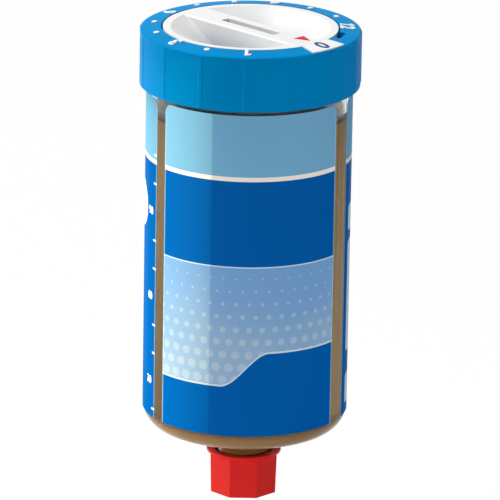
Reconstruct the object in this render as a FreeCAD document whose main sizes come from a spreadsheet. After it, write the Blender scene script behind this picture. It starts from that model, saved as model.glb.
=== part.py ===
import FreeCAD, Part
import math
import os
import Sketcher

# Automatic lubricator: a clear container full of lubricant, a piston that gas
# pushes down, a drive unit with cells and a circuit board, a blue top ring, a
# white dial that sets the emptying time and a red closing cap on the outlet.
# Millimetres and degrees. The foot of the closing cap stands on z = 0, the axis
# is Z, and angles on plan count from +X. -Y is the front.

DOCUMENT = FreeCAD.newDocument("AutomaticLubricator")
SHEET = DOCUMENT.addObject("Spreadsheet::Sheet", "Sizes")

SIZES = [
    # Closing cap, octagonal, screwed on the outlet
    ("cap_wall", 1.15),
    ("cap_draft", 1.5),
    ("cap_height", 10.8),
    ("cap_flange_reach", 1.25),
    ("cap_flange_edge", 0.7),
    ("cap_mouth_lead", 0.95),
    ("cap_flange_cone", 0.85),
    ("cap_floor", 1.8),
    ("cap_mouth_depth", 1.3),
    ("cap_thread_gap", 0.6),
    ("cap_neck_gap", 6.1),
    # Container with its threaded outlet, R 1/4
    ("container_radius", 25.0),
    ("container_wall", 2.0),
    ("container_floor", 2.0),
    ("container_corner", 5.8),
    ("container_rim", 8.0),
    ("container_rim_step", 0.4),
    ("container_rim_wall", 0.9),
    ("snap_bead", 0.5),
    ("snap_bead_width", 1.6),
    ("snap_bead_drop", 4.6),
    ("neck_radius", 6.58),
    ("neck_length", 4.0),
    ("thread_depth", 0.43),
    ("thread_taper", 1.79),
    ("outlet_radius", 2.5),
    ("outlet_lead", 0.6),
    ("nozzle_tip_gap", 0.3),
    # Lubricant
    ("fill_height", 79.3),
    ("fill_gap", 0.05),
    # Label panels, round the container
    ("label_thickness", 0.08),
    ("label_margin", 4.9),
    ("label_head_gap", 1.3),
    ("label_corner", 2.2),
    ("label_front_start", -143.0),
    ("label_front_sweep", 109.5),
    ("label_right_start", -20.0),
    ("label_right_sweep", 109.0),
    ("label_left_start", 99.0),
    ("label_left_sweep", 109.5),
    # Piston and its lip seal
    ("piston_floor", 1.4),
    ("piston_rim_floor", 2.8),
    ("piston_skirt", 1.5),
    ("piston_gap", 0.45),
    ("piston_chamfer", 0.3),
    ("wiper_gap", 0.15),
    ("wiper_height", 0.8),
    ("seal_foot", 0.5),
    ("seal_height", 1.5),
    ("seal_depth", 1.0),
    ("seal_lip_height", 0.5),
    ("seal_back", 0.35),
    ("seal_seat_gap", 0.04),
    # Drive housing, hung in the container's rim
    ("housing_head_gap", 0.6),
    ("housing_fit", 0.15),
    ("housing_chamber_gap", 0.6),
    ("housing_wall", 1.2),
    ("housing_floor", 1.2),
    ("housing_head_wall", 2.85),
    ("housing_flange_gap", 0.7),
    ("board_shelf_width", 1.6),
    ("board_shelf_rise", 0.2),
    ("board_ledge", 0.7),
    ("boss_wall", 1.5),
    ("boss_top_gap", 0.5),
    ("pin_bore_floor", 0.4),
    ("vent_radius", 0.8),
    ("drive_seal_section", 0.6),
    ("drive_seal_gap", 0.05),
    ("drive_seal_slack", 0.6),
    ("drive_seal_drop", 1.5),
    # Cells and strips
    ("cell_height", 5.4),
    ("cell_wall_gap", 2.0),
    ("cell_boss_gap", 1.2),
    ("cell_shoulder", 1.1),
    ("cell_cap_height", 0.9),
    ("cell_cap_slope", 0.3),
    ("cell_first_angle", 90.0),
    ("strip_thickness", 0.2),
    ("strip_width", 2.6),
    ("strip_inset", 1.2),
    ("strip_boss_gap", 0.4),
    ("tab_inset", 1.7),
    ("gas_port_radius", 1.0),
    ("gas_port_depth", 0.6),
    # Circuit board and switch
    ("board_thickness", 1.0),
    ("board_seat_gap", 0.1),
    ("board_hole_gap", 0.6),
    ("resistor_margin", 1.5),
    ("resistor_length", 2.0),
    ("resistor_width", 1.2),
    ("resistor_height", 0.5),
    ("track_margin", 1.5),
    ("track_length", 4.0),
    ("track_rail", 0.8),
    ("track_finger_width", 1.6),
    ("track_thickness", 0.1),
    ("switch_thickness", 0.3),
    ("switch_track_gap", 1.0),
    ("switch_collar_width", 2.8),
    ("switch_arm_width", 2.4),
    ("switch_arm_root", 1.2),
    ("switch_overlap", 1.8),
    ("switch_tip_radius", 0.8),
    ("switch_tip_gap", 0.05),
    # Dial with its grip bar
    ("dial_angle", -45.2),
    ("dial_wall", 1.4),
    ("dial_rim", 1.9),
    ("dish_depth", 6.8),
    ("dish_slope", 29.2),
    ("dish_round", 4.0),
    ("bar_width", 8.3),
    ("bar_end_width", 4.2),
    ("bar_end_reach", 0.7),
    ("opening_edge", 0.5),
    ("slot_length", 18.0),
    ("slot_width", 2.4),
    ("slot_depth", 4.0),
    ("dial_flange_width", 1.2),
    ("dial_flange_height", 1.6),
    ("dial_flange_gap", 0.3),
    ("dial_hub_radius", 3.2),
    ("dial_hub_length", 2.3),
    ("pin_radius", 2.0),
    ("pin_gap", 0.1),
    ("pin_length", 4.7),
    ("detent_mouth_width", 1.7),
    ("detent_root_width", 0.6),
    ("detent_depth", 0.4),
    ("dial_seal_section", 0.55),
    ("dial_seal_gap", 0.15),
    ("dial_seal_slack", 0.3),
    ("dial_seal_drop", 1.3),
    ("pointer_base", 3.4),
    ("pointer_length", 4.1),
    ("pointer_margin", 0.6),
    ("pointer_side", 1.7),
    ("pointer_rise", 0.05),
    ("inlay_depth", 0.3),
    # Detent spring
    ("leaf_thickness", 0.3),
    ("leaf_top_gap", 0.4),
    ("leaf_sweep", 44.0),
    ("leaf_wall_gap", 0.15),
    ("leaf_bump", 0.7),
    ("leaf_bump_width", 2.4),
    ("leaf_bump_tip", 0.6),
    ("leaf_dial_gap", 0.15),
    # Top ring
    ("ring_wall", 2.3),
    ("ring_height", 14.0),
    ("ring_lid", 3.0),
    ("ring_drop", 0.6),
    ("ring_edge", 0.9),
    ("ring_foot_chamfer", 0.35),
    ("ring_dial_gap", 0.45),
    ("ring_bore_gap", 0.1),
    ("ring_foot_gap", 0.2),
    ("ring_angle", -80.1),
    ("mark_pitch", 24.0),
    ("rib_width", 0.7),
    ("rib_flank", 0.3),
    ("face_depth", 0.14),
    ("face_radius", 42.7),
    ("notch_angle", 64.0),
    ("notch_width", 5.0),
    ("notch_length", 1.5),
    ("notch_depth", 1.6),
    ("flag_angle", -43.4),
    ("flag_mouth_gap", 0.1),
    ("flag_margin", 0.8),
    ("flag_rise", 0.3),
    # How far a cut runs past the surface that it opens
    ("overcut", 1.0),
]

MARK_COUNT = 15
CELL_COUNT = 3
BATTERY_COUNT = 2
LEAF_MARK = 6
OCTAGON_SIDES = 8
DEGREES = math.degrees(1)
# Edges this near to a height or a radius lie on it
EDGE_REACH = 0.01


class Length:
    """A size that keeps its number and the sheet expression it stands for."""

    def __init__(self, value, text):
        self.value = value
        self.text = text

    def __add__(self, other):
        other = length(other)
        return Length(self.value + other.value, f"({self.text} + {other.text})")

    def __sub__(self, other):
        other = length(other)
        return Length(self.value - other.value, f"({self.text} - {other.text})")

    def __mul__(self, other):
        other = length(other)
        return Length(self.value * other.value, f"({self.text} * {other.text})")

    def __truediv__(self, other):
        other = length(other)
        return Length(self.value / other.value, f"({self.text} / {other.text})")

    def __neg__(self):
        return Length(-self.value, f"(0 - {self.text})")

    def __radd__(self, other):
        return length(other) + self

    def __rsub__(self, other):
        return length(other) - self

    def __rmul__(self, other):
        return length(other) * self


def length(number):
    """Wraps a plain number, and passes a Length through."""
    if isinstance(number, Length):
        return number
    return Length(float(number), f"{float(number):.6f}")


def sine(angle):
    angle = length(angle)
    return Length(math.sin(math.radians(angle.value)), f"sin({angle.text})")


def cosine(angle):
    angle = length(angle)
    return Length(math.cos(math.radians(angle.value)), f"cos({angle.text})")


def tangent(angle):
    return sine(angle) / cosine(angle)


def root(number):
    return Length(math.sqrt(number.value), f"sqrt({number.text})")


def polar(radius, angle):
    """The x and y of a point at a radius and an angle from +X."""
    return radius * cosine(angle), radius * sine(angle)


def turned(corners, angle):
    """Points given as (outwards, sideways) for a piece that faces +X, at an angle."""
    along_x = cosine(angle)
    along_y = sine(angle)
    return [
        (out * along_x - side * along_y, out * along_y + side * along_x)
        for out, side in corners]


class Sizes:
    """The sheet's cells, each read as a Length by its alias."""

    def __init__(self, rows):
        for number, (alias, value) in enumerate(rows, start=1):
            SHEET.set(f"A{number}", alias)
            SHEET.set(f"B{number}", str(value))
            SHEET.setAlias(f"B{number}", alias)
            setattr(self, alias, Length(value, f"Sizes.{alias}"))


S = Sizes(SIZES)
DOCUMENT.recompute()

# Heights that follow from the stack of pieces, upwards from the cap's foot
CONTAINER_BOTTOM = S.cap_height + S.cap_neck_gap
FLOOR_TOP = CONTAINER_BOTTOM + S.container_floor
NOZZLE_TIP = S.cap_floor + S.nozzle_tip_gap
NECK_FOOT = CONTAINER_BOTTOM - S.neck_length
PISTON_BOTTOM = FLOOR_TOP + S.fill_height
HOUSING_BOTTOM = PISTON_BOTTOM + S.piston_floor + S.housing_chamber_gap
POCKET_FLOOR = HOUSING_BOTTOM + S.housing_floor
CELL_BOTTOM = POCKET_FLOOR + S.strip_thickness
CELL_TOP = CELL_BOTTOM + S.cell_height
BOARD_BOTTOM = CELL_TOP + S.strip_thickness
BOARD_TOP = BOARD_BOTTOM + S.board_thickness
TRACK_TOP = BOARD_TOP + S.track_thickness
SWITCH_BOTTOM = TRACK_TOP + S.switch_track_gap
DIAL_BELLY = SWITCH_BOTTOM + S.switch_thickness
DISH_FLOOR = DIAL_BELLY + S.dial_wall
RING_TOP = DISH_FLOOR + S.dish_depth
RING_BOTTOM = RING_TOP - S.ring_height
CONTAINER_TOP = RING_TOP - S.ring_lid
SHOULDER = RING_BOTTOM - S.ring_foot_gap
LEDGE = CONTAINER_TOP - S.container_rim
PISTON_TOP = LEDGE - S.housing_head_gap
DIAL_FLANGE_TOP = CONTAINER_TOP - S.dial_flange_gap
DIAL_FLANGE_BOTTOM = DIAL_FLANGE_TOP - S.dial_flange_height
HOUSING_TOP = DIAL_FLANGE_BOTTOM - S.housing_flange_gap

# Radii that follow from their neighbours, inwards from the container's wall
BORE = S.container_radius - S.container_wall
RIM_RADIUS = S.container_radius - S.container_rim_step
RIM_BORE = RIM_RADIUS - S.container_rim_wall
RING_BORE = RIM_RADIUS + S.ring_bore_gap
RING_RADIUS = RING_BORE + S.ring_wall
PISTON_RADIUS = BORE - S.piston_gap
WIPER_RADIUS = BORE - S.wiper_gap
LEAF_RADIUS = RIM_BORE - S.leaf_wall_gap
LEAF_TIP = LEAF_RADIUS - S.leaf_thickness - S.leaf_bump
DIAL_FLANGE_RADIUS = LEAF_TIP - S.leaf_dial_gap
DIAL_RADIUS = DIAL_FLANGE_RADIUS - S.dial_flange_width
DISH_RADIUS = DIAL_RADIUS - S.dial_rim
RING_MOUTH = DIAL_RADIUS + S.ring_dial_gap
HOUSING_RADIUS = RIM_BORE - S.housing_fit
HOUSING_UPRIGHT = HOUSING_RADIUS - S.housing_head_wall
BOARD_SEAT = HOUSING_UPRIGHT - S.board_shelf_width
BOARD_RADIUS = BOARD_SEAT - S.board_seat_gap
POCKET_RADIUS = BOARD_SEAT - S.board_ledge
POCKET_OUTER = POCKET_RADIUS + S.housing_wall
PIN_BORE = S.pin_radius + S.pin_gap
BOSS_RADIUS = PIN_BORE + S.boss_wall
CELL_RADIUS = (POCKET_RADIUS - S.cell_wall_gap - BOSS_RADIUS - S.cell_boss_gap) / 2
CELL_ORBIT = BOSS_RADIUS + S.cell_boss_gap + CELL_RADIUS
CELL_CAP_RADIUS = CELL_RADIUS - S.cell_shoulder
STRIP_PAD_RADIUS = CELL_RADIUS - S.strip_inset
DRIVE_GROOVE_FLOOR = RIM_BORE - S.drive_seal_section * 2 - S.drive_seal_gap
DRIVE_GROOVE_HEIGHT = S.drive_seal_section * 2 + S.drive_seal_slack
DIAL_GROOVE_FLOOR = RING_MOUTH - S.dial_seal_section * 2 - S.dial_seal_gap
DIAL_GROOVE_HEIGHT = S.dial_seal_section * 2 + S.dial_seal_slack
RESISTOR_OUTER = BOARD_RADIUS - S.resistor_margin
RESISTOR_INNER = RESISTOR_OUTER - S.resistor_width
TRACK_OUTER = RESISTOR_INNER - S.track_margin
TRACK_INNER = TRACK_OUTER - S.track_length
SWITCH_REACH = TRACK_INNER + S.switch_overlap
SWITCH_COLLAR = S.dial_hub_radius + S.switch_collar_width

# Radii of the outlet and its cap
THREAD_PITCH_RADIUS = S.neck_radius - S.thread_depth
NOZZLE_TAPER = tangent(S.thread_taper)
TIP_RADIUS = THREAD_PITCH_RADIUS - (NECK_FOOT - NOZZLE_TIP) * NOZZLE_TAPER
CAP_BORE = THREAD_PITCH_RADIUS + S.cap_thread_gap
CAP_FLAT = CAP_BORE + S.cap_wall
CAP_FLANGE = CAP_FLAT + S.cap_flange_reach


# Building blocks

def new_body(label):
    """A body whose label is its piece's name."""
    body = DOCUMENT.addObject("PartDesign::Body", label)
    body.Label = label
    return body


def new_sketch(body, name, plane, height=None):
    """A sketch on one of the body's origin planes, raised to a height if given."""
    sketch = body.newObject("Sketcher::SketchObject", f"{body.Label}_{name}")
    for feature in body.Origin.OriginFeatures:
        if feature.Role == plane:
            sketch.AttachmentSupport = [(feature, "")]
    sketch.MapMode = "FlatFace"
    if height is not None:
        sketch.AttachmentOffset = FreeCAD.Placement(
            FreeCAD.Vector(0, 0, height.value), FreeCAD.Rotation())
        sketch.setExpression("AttachmentOffset.Base.z", height.text)
    return sketch


def hold_point(sketch, geometry, point, x, y):
    """Holds one point of the sketch at its x and y from the origin."""
    for kind, axis, size in (("DistanceX", -2, length(x)), ("DistanceY", -1, length(y))):
        if size.value == 0:
            sketch.addConstraint(Sketcher.Constraint("PointOnObject", geometry, point, axis))
            continue
        number = sketch.addConstraint(
            Sketcher.Constraint(kind, -1, 1, geometry, point, size.value))
        sketch.setExpression(f"Constraints[{number}]", size.text)


def draw_outline(sketch, points, arcs=None):
    """A closed outline through held points: straight lines, or an arc by a middle
    point and a radius on each stretch that arcs names."""
    first = sketch.GeometryCount
    corners = [vector_at(x, y) for x, y in points]
    count = len(points)
    ends = []
    for i, corner in enumerate(corners):
        following = corners[(i + 1) % count]
        if arcs is None or i not in arcs:
            sketch.addGeometry(Part.LineSegment(corner, following), False)
            ends.append((1, 2))
            continue
        middle, radius = arcs[i]
        sketch.addGeometry(Part.Arc(corner, vector_at(*middle), following), False)
        forward = sketch.getPoint(first + i, 1).distanceToPoint(corner) < radius.value / 1000
        ends.append((1, 2) if forward else (2, 1))
        number = sketch.addConstraint(
            Sketcher.Constraint("Radius", first + i, radius.value))
        sketch.setExpression(f"Constraints[{number}]", radius.text)
    for i, (x, y) in enumerate(points):
        following = (i + 1) % count
        sketch.addConstraint(Sketcher.Constraint(
            "Coincident", first + i, ends[i][1], first + following, ends[following][0]))
        hold_point(sketch, first + i, ends[i][0], x, y)


def box(start, end, half_width):
    """Corners of a rectangle along X."""
    return [(start, -half_width), (end, -half_width), (end, half_width), (start, half_width)]


def vector_at(x, y):
    return FreeCAD.Vector(length(x).value, length(y).value, 0)


def draw_circle(sketch, x, y, radius):
    """A circle of a given radius about a held centre."""
    normal = FreeCAD.Vector(0, 0, 1)
    circle = sketch.addGeometry(Part.Circle(vector_at(x, y), normal, radius.value), False)
    hold_point(sketch, circle, 3, x, y)
    number = sketch.addConstraint(Sketcher.Constraint("Radius", circle, radius.value))
    sketch.setExpression(f"Constraints[{number}]", radius.text)


def revolve(body, name, points, start=None, sweep=None):
    """Turns an outline of radii and heights about Z, all round or by a sweep."""
    sketch = new_sketch(body, f"{name}_profile", "XZ_Plane")
    draw_outline(sketch, points)
    round_piece = body.newObject("PartDesign::Revolution", f"{body.Label}_{name}")
    round_piece.Profile = sketch
    round_piece.ReferenceAxis = (sketch, ["V_Axis"])
    round_piece.Angle = 360.0
    if sweep is not None:
        round_piece.Angle = sweep.value
        round_piece.setExpression("Angle", sweep.text)
        turned_to(body, start)
    return round_piece


def turned_to(body, angle):
    """Turns the whole body about Z."""
    body.Placement = FreeCAD.Placement(
        FreeCAD.Vector(0, 0, 0), FreeCAD.Rotation(FreeCAD.Vector(0, 0, 1), angle.value))
    body.setExpression("Placement.Rotation.Angle", angle.text)


def groove(body, name, points):
    """Cuts an outline of radii and heights all round the axis."""
    sketch = new_sketch(body, f"{name}_profile", "XZ_Plane")
    draw_outline(sketch, points)
    cut = body.newObject("PartDesign::Groove", f"{body.Label}_{name}")
    cut.Profile = sketch
    cut.ReferenceAxis = (sketch, ["V_Axis"])
    cut.Angle = 360.0
    return cut


def pad(body, name, sketch, height):
    """Raises a sketch by a height."""
    raised = body.newObject("PartDesign::Pad", f"{body.Label}_{name}")
    raised.Profile = sketch
    raised.Length = height.value
    raised.setExpression("Length", height.text)
    return raised


def pocket(body, name, sketch, depth, outwards=False):
    """Cuts a sketch down, or outwards, by a depth, and makes sure that it cuts."""
    DOCUMENT.recompute()
    before = body.Shape.Volume
    cut = body.newObject("PartDesign::Pocket", f"{body.Label}_{name}")
    cut.Profile = sketch
    cut.Length = depth.value
    cut.setExpression("Length", depth.text)
    cut.Reversed = outwards
    DOCUMENT.recompute()
    if body.Shape.Volume >= before:
        raise RuntimeError(f"{body.Label}: {name} cuts nothing")
    return cut


def circular_pattern(body, name, feature, count):
    """Repeats a feature round Z, evenly over the whole turn."""
    pattern = body.newObject("PartDesign::PolarPattern", f"{body.Label}_{name}")
    pattern.Originals = [feature]
    for axis in body.Origin.OriginFeatures:
        if axis.Role == "Z_Axis":
            pattern.Axis = (axis, [""])
    pattern.Angle = 360.0
    pattern.Occurrences = count
    body.Tip = pattern
    return pattern


def ring_edges(shape, radius, height):
    """Names of the round edges at a radius and a height."""
    names = []
    for number, edge in enumerate(shape.Edges, start=1):
        if not isinstance(edge.Curve, Part.Circle):
            continue
        same_radius = abs(edge.Curve.Radius - radius.value) < EDGE_REACH
        same_height = abs(edge.Curve.Center.z - height.value) < EDGE_REACH
        if same_radius and same_height:
            names.append(f"Edge{number}")
    return names


def round_edges(body, name, edges_at, radius, kind="PartDesign::Fillet"):
    """Fillets or chamfers the round edges at a list of radii and heights."""
    DOCUMENT.recompute()
    base = body.Tip
    names = []
    for edge_radius, height in edges_at:
        found = ring_edges(base.Shape, edge_radius, height)
        if not found:
            raise RuntimeError(f"{body.Label}: {name} finds no edge")
        names += found
    dress = body.newObject(kind, f"{body.Label}_{name}")
    dress.Base = (base, names)
    size = "Radius" if kind == "PartDesign::Fillet" else "Size"
    setattr(dress, size, radius.value)
    dress.setExpression(size, radius.text)
    return dress


# Closing cap

def build_closing_cap():
    body = new_body("closing_cap")
    sketch = new_sketch(body, "octagon", "XY_Plane")
    turn = 360 / OCTAGON_SIDES
    corner_radius = CAP_FLAT / cosine(turn / 2)
    draw_outline(sketch, [
        polar(corner_radius, turn * (side + 0.5)) for side in range(OCTAGON_SIDES)])
    edge_foot = S.cap_height - S.cap_flange_edge
    block = pad(body, "block", sketch, edge_foot)
    block.TaperAngle = S.cap_draft.value
    block.setExpression("TaperAngle", S.cap_draft.text)
    cone_foot = edge_foot - S.cap_flange_cone
    waist = CAP_FLAT + cone_foot * tangent(S.cap_draft)
    revolve(body, "flange", [
        (S.outlet_radius, cone_foot), (waist, cone_foot), (CAP_FLANGE, edge_foot),
        (CAP_FLANGE, S.cap_height), (S.outlet_radius, S.cap_height)])
    bore_foot = CAP_BORE - (NECK_FOOT - NOZZLE_TIP) * NOZZLE_TAPER
    mouth_foot = S.cap_height - S.cap_mouth_depth
    mouth = CAP_BORE + S.cap_mouth_lead
    over = S.cap_height + S.overcut
    groove(body, "bore", [
        (0, S.cap_floor), (bore_foot, S.cap_floor), (CAP_BORE, mouth_foot),
        (mouth, S.cap_height), (mouth, over), (0, over)])
    return body


# Container

def build_container():
    """A clear moulded cup: threaded outlet below, stepped rim with a snap bead above."""
    body = new_body("container")
    bead_middle = CONTAINER_TOP - S.snap_bead_drop
    bead_half = S.snap_bead_width / 2
    outlet = S.outlet_radius
    revolve(body, "cup", [
        (outlet, NOZZLE_TIP), (TIP_RADIUS, NOZZLE_TIP),
        (THREAD_PITCH_RADIUS, NECK_FOOT), (S.neck_radius, NECK_FOOT),
        (S.neck_radius, CONTAINER_BOTTOM), (S.container_radius, CONTAINER_BOTTOM),
        (S.container_radius, SHOULDER), (RIM_RADIUS, SHOULDER),
        (RIM_RADIUS, bead_middle - bead_half), (RIM_RADIUS + S.snap_bead, bead_middle),
        (RIM_RADIUS, bead_middle + bead_half), (RIM_RADIUS, CONTAINER_TOP),
        (RIM_BORE, CONTAINER_TOP), (RIM_BORE, LEDGE), (BORE, LEDGE), (BORE, FLOOR_TOP),
        (outlet, FLOOR_TOP)])
    round_edges(body, "outer_corner", [(S.container_radius, CONTAINER_BOTTOM)],
                S.container_corner)
    round_edges(body, "inner_corner", [(BORE, FLOOR_TOP)],
                S.container_corner - S.container_wall)
    round_edges(body, "outlet_lead", [(TIP_RADIUS, NOZZLE_TIP)], S.outlet_lead,
                "PartDesign::Chamfer")
    return body


def build_lubricant():
    """The filling, from the outlet's mouth to the piston."""
    body = new_body("lubricant_fill")
    column = BORE - S.fill_gap
    stem = S.outlet_radius - S.fill_gap
    foot = FLOOR_TOP + S.fill_gap
    revolve(body, "column", [
        (0, NOZZLE_TIP), (stem, NOZZLE_TIP), (stem, foot), (column, foot),
        (column, PISTON_BOTTOM), (0, PISTON_BOTTOM)])
    round_edges(body, "corner", [(column, foot)], S.container_corner - S.container_wall)
    return body


def build_label(label, start, sweep):
    """One printed panel, a thin shell on the container with rounded top corners."""
    body = new_body(label)
    foot = CONTAINER_BOTTOM + S.label_margin
    head = RING_BOTTOM - S.label_head_gap
    inner = S.container_radius
    outer = S.container_radius + S.label_thickness
    revolve(body, "panel", [(inner, foot), (outer, foot), (outer, head), (inner, head)],
            start, sweep)
    corner = S.label_corner
    for side, turn in ((1, length(0)), (-1, sweep)):
        cut = new_sketch(body, f"corner_{side + 2}_outline", "YZ_Plane")
        cut.AttachmentOffset = FreeCAD.Placement(
            FreeCAD.Vector(0, 0, 0), FreeCAD.Rotation(FreeCAD.Vector(0, 1, 0), turn.value))
        cut.setExpression("AttachmentOffset.Rotation.Angle", turn.text)
        middle = (side * corner * (1 - cosine(45)), head - corner * (1 - sine(45)))
        over = head + S.overcut
        edge = -side * S.overcut
        draw_outline(cut, [
            (0, head - corner), (side * corner, head), (side * corner, over),
            (edge, over), (edge, head - corner)], {0: (middle, corner)})
        pocket(body, f"corner_{side + 2}", cut, outer + S.overcut, outwards=True)
    return body


# Piston

def build_piston():
    """A moulded cup, open upwards, with a seal groove and a guiding rib."""
    body = new_body("piston")
    groove_foot = PISTON_BOTTOM + S.seal_foot
    groove_head = groove_foot + S.seal_height
    groove_floor = PISTON_RADIUS - S.seal_depth
    rib_foot = PISTON_TOP - S.wiper_height
    inner = PISTON_RADIUS - S.piston_skirt
    well = POCKET_OUTER + S.housing_chamber_gap
    floor_top = PISTON_BOTTOM + S.piston_floor
    rim_floor_top = PISTON_BOTTOM + S.piston_rim_floor
    revolve(body, "cup", [
        (0, PISTON_BOTTOM), (PISTON_RADIUS - S.piston_chamfer, PISTON_BOTTOM),
        (PISTON_RADIUS, PISTON_BOTTOM + S.piston_chamfer), (PISTON_RADIUS, groove_foot),
        (groove_floor, groove_foot), (groove_floor, groove_head),
        (PISTON_RADIUS, groove_head), (PISTON_RADIUS, rib_foot),
        (WIPER_RADIUS, rib_foot), (WIPER_RADIUS, PISTON_TOP),
        (inner, PISTON_TOP), (inner, rim_floor_top), (well, rim_floor_top),
        (well, floor_top), (0, floor_top)])
    return body


def build_piston_seal():
    """A ring with a lip that leans down and out against the bore."""
    body = new_body("piston_seal")
    foot = PISTON_BOTTOM + S.seal_foot + S.seal_seat_gap
    head = foot + S.seal_height - S.seal_seat_gap * 2
    inner = PISTON_RADIUS - S.seal_depth + S.seal_seat_gap
    lip = S.seal_lip_height
    revolve(body, "ring", [
        (inner, foot), (PISTON_RADIUS, foot), (WIPER_RADIUS, foot + lip / 2),
        (WIPER_RADIUS, foot + lip), (PISTON_RADIUS - S.seal_back, head), (inner, head)])
    return body


# Drive unit

def build_drive_housing():
    """A cup with a pocket for the cells, a seat for the board and a ring groove."""
    body = new_body("drive_housing")
    boss_top = BOARD_BOTTOM - S.boss_top_gap
    shelf = BOARD_TOP + S.board_shelf_rise
    groove_head = HOUSING_TOP - S.drive_seal_drop
    groove_foot = groove_head - DRIVE_GROOVE_HEIGHT
    bore_floor = HOUSING_BOTTOM + S.pin_bore_floor
    revolve(body, "cup", [
        (0, HOUSING_BOTTOM), (POCKET_OUTER, HOUSING_BOTTOM), (POCKET_OUTER, LEDGE),
        (HOUSING_RADIUS, LEDGE), (HOUSING_RADIUS, groove_foot),
        (DRIVE_GROOVE_FLOOR, groove_foot), (DRIVE_GROOVE_FLOOR, groove_head),
        (HOUSING_RADIUS, groove_head), (HOUSING_RADIUS, HOUSING_TOP),
        (HOUSING_UPRIGHT, HOUSING_TOP), (HOUSING_UPRIGHT, shelf), (BOARD_SEAT, shelf),
        (BOARD_SEAT, BOARD_BOTTOM), (POCKET_RADIUS, BOARD_BOTTOM),
        (POCKET_RADIUS, POCKET_FLOOR), (BOSS_RADIUS, POCKET_FLOOR),
        (BOSS_RADIUS, boss_top), (PIN_BORE, boss_top), (PIN_BORE, bore_floor),
        (0, bore_floor)])
    vent = new_sketch(body, "vent_circle", "XY_Plane", POCKET_FLOOR)
    draw_circle(vent, *cell_centre(CELL_COUNT - 1), S.vent_radius)
    pocket(body, "vent", vent, S.housing_floor)
    return body


def build_o_ring(label, orbit, height, section):
    """A rubber ring of round section."""
    ring = DOCUMENT.addObject("Part::Torus", label)
    ring.Label = label
    ring.Radius1 = orbit.value
    ring.setExpression("Radius1", orbit.text)
    ring.Radius2 = section.value
    ring.setExpression("Radius2", section.text)
    ring.Placement = FreeCAD.Placement(
        FreeCAD.Vector(0, 0, height.value), FreeCAD.Rotation())
    ring.setExpression("Placement.Base.z", height.text)
    return ring


def cell_angle(number):
    return S.cell_first_angle + number * 360 / CELL_COUNT


def cell_centre(number):
    return polar(CELL_ORBIT, cell_angle(number))


def place_at(body, x, y, z):
    """Moves a body modelled on the axis to its own centre."""
    body.Placement = FreeCAD.Placement(
        FreeCAD.Vector(x.value, y.value, z.value), FreeCAD.Rotation())
    body.setExpression("Placement.Base.x", x.text)
    body.setExpression("Placement.Base.y", y.text)
    body.setExpression("Placement.Base.z", z.text)


def build_cell(label, number, port=False):
    """A button cell with its stepped cap; the gas cell has a port below."""
    body = new_body(label)
    shoulder = S.cell_height - S.cell_cap_height
    revolve(body, "can", [
        (0, 0), (CELL_RADIUS, 0), (CELL_RADIUS, shoulder),
        (CELL_CAP_RADIUS, shoulder + S.cell_cap_slope),
        (CELL_CAP_RADIUS, S.cell_height), (0, S.cell_height)])
    if port:
        groove(body, "port", [
            (0, 0), (S.gas_port_radius, 0), (S.gas_port_radius, S.gas_port_depth),
            (0, S.gas_port_depth)])
    place_at(body, *cell_centre(number), CELL_BOTTOM)
    return body


def build_link_strip():
    """The nickel strip that joins the two batteries below, past the boss."""
    body = new_body("link_strip")
    for number in range(BATTERY_COUNT):
        sketch = new_sketch(body, f"pad_{number + 1}_circle", "XY_Plane", POCKET_FLOOR)
        draw_circle(sketch, *cell_centre(number), STRIP_PAD_RADIUS)
        pad(body, f"pad_{number + 1}", sketch, S.strip_thickness)
        if number == 0:
            add_strip_bridge(body)
    return body


def add_strip_bridge(body):
    """The straight run of the strip between the two pads."""
    half_turn = 180 / CELL_COUNT
    near = BOSS_RADIUS + S.strip_boss_gap
    half_run = CELL_ORBIT * sine(half_turn)
    sketch = new_sketch(body, "bridge_outline", "XY_Plane", POCKET_FLOOR)
    draw_outline(sketch, turned(
        box(near, near + S.strip_width, half_run), cell_angle(0) + half_turn))
    pad(body, "bridge", sketch, S.strip_thickness)


def build_gas_contact():
    """The washer under the gas cell, open round its port."""
    body = new_body("gas_cell_contact")
    revolve(body, "washer", [
        (S.gas_port_radius, 0), (STRIP_PAD_RADIUS, 0),
        (STRIP_PAD_RADIUS, S.strip_thickness), (S.gas_port_radius, S.strip_thickness)])
    place_at(body, *cell_centre(CELL_COUNT - 1), POCKET_FLOOR)
    return body


def build_top_contact(label, number):
    """The round tab between a cell's cap and the board."""
    body = new_body(label)
    radius = CELL_CAP_RADIUS - S.tab_inset
    revolve(body, "tab", [
        (0, 0), (radius, 0), (radius, S.strip_thickness), (0, S.strip_thickness)])
    place_at(body, *cell_centre(number), CELL_TOP)
    return body


def build_circuit_board():
    """A round board with a hole for the dial's hub and a resistor per setting."""
    body = new_body("circuit_board")
    hole = S.dial_hub_radius + S.board_hole_gap
    revolve(body, "disc", [
        (hole, BOARD_BOTTOM), (BOARD_RADIUS, BOARD_BOTTOM), (BOARD_RADIUS, BOARD_TOP),
        (hole, BOARD_TOP)])
    sketch = new_sketch(body, "resistor_outline", "XY_Plane", BOARD_TOP)
    draw_outline(sketch, box(RESISTOR_INNER, RESISTOR_OUTER, S.resistor_length / 2))
    chip = pad(body, "resistor", sketch, S.resistor_height)
    circular_pattern(body, "resistors", chip, MARK_COUNT)
    return body


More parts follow.
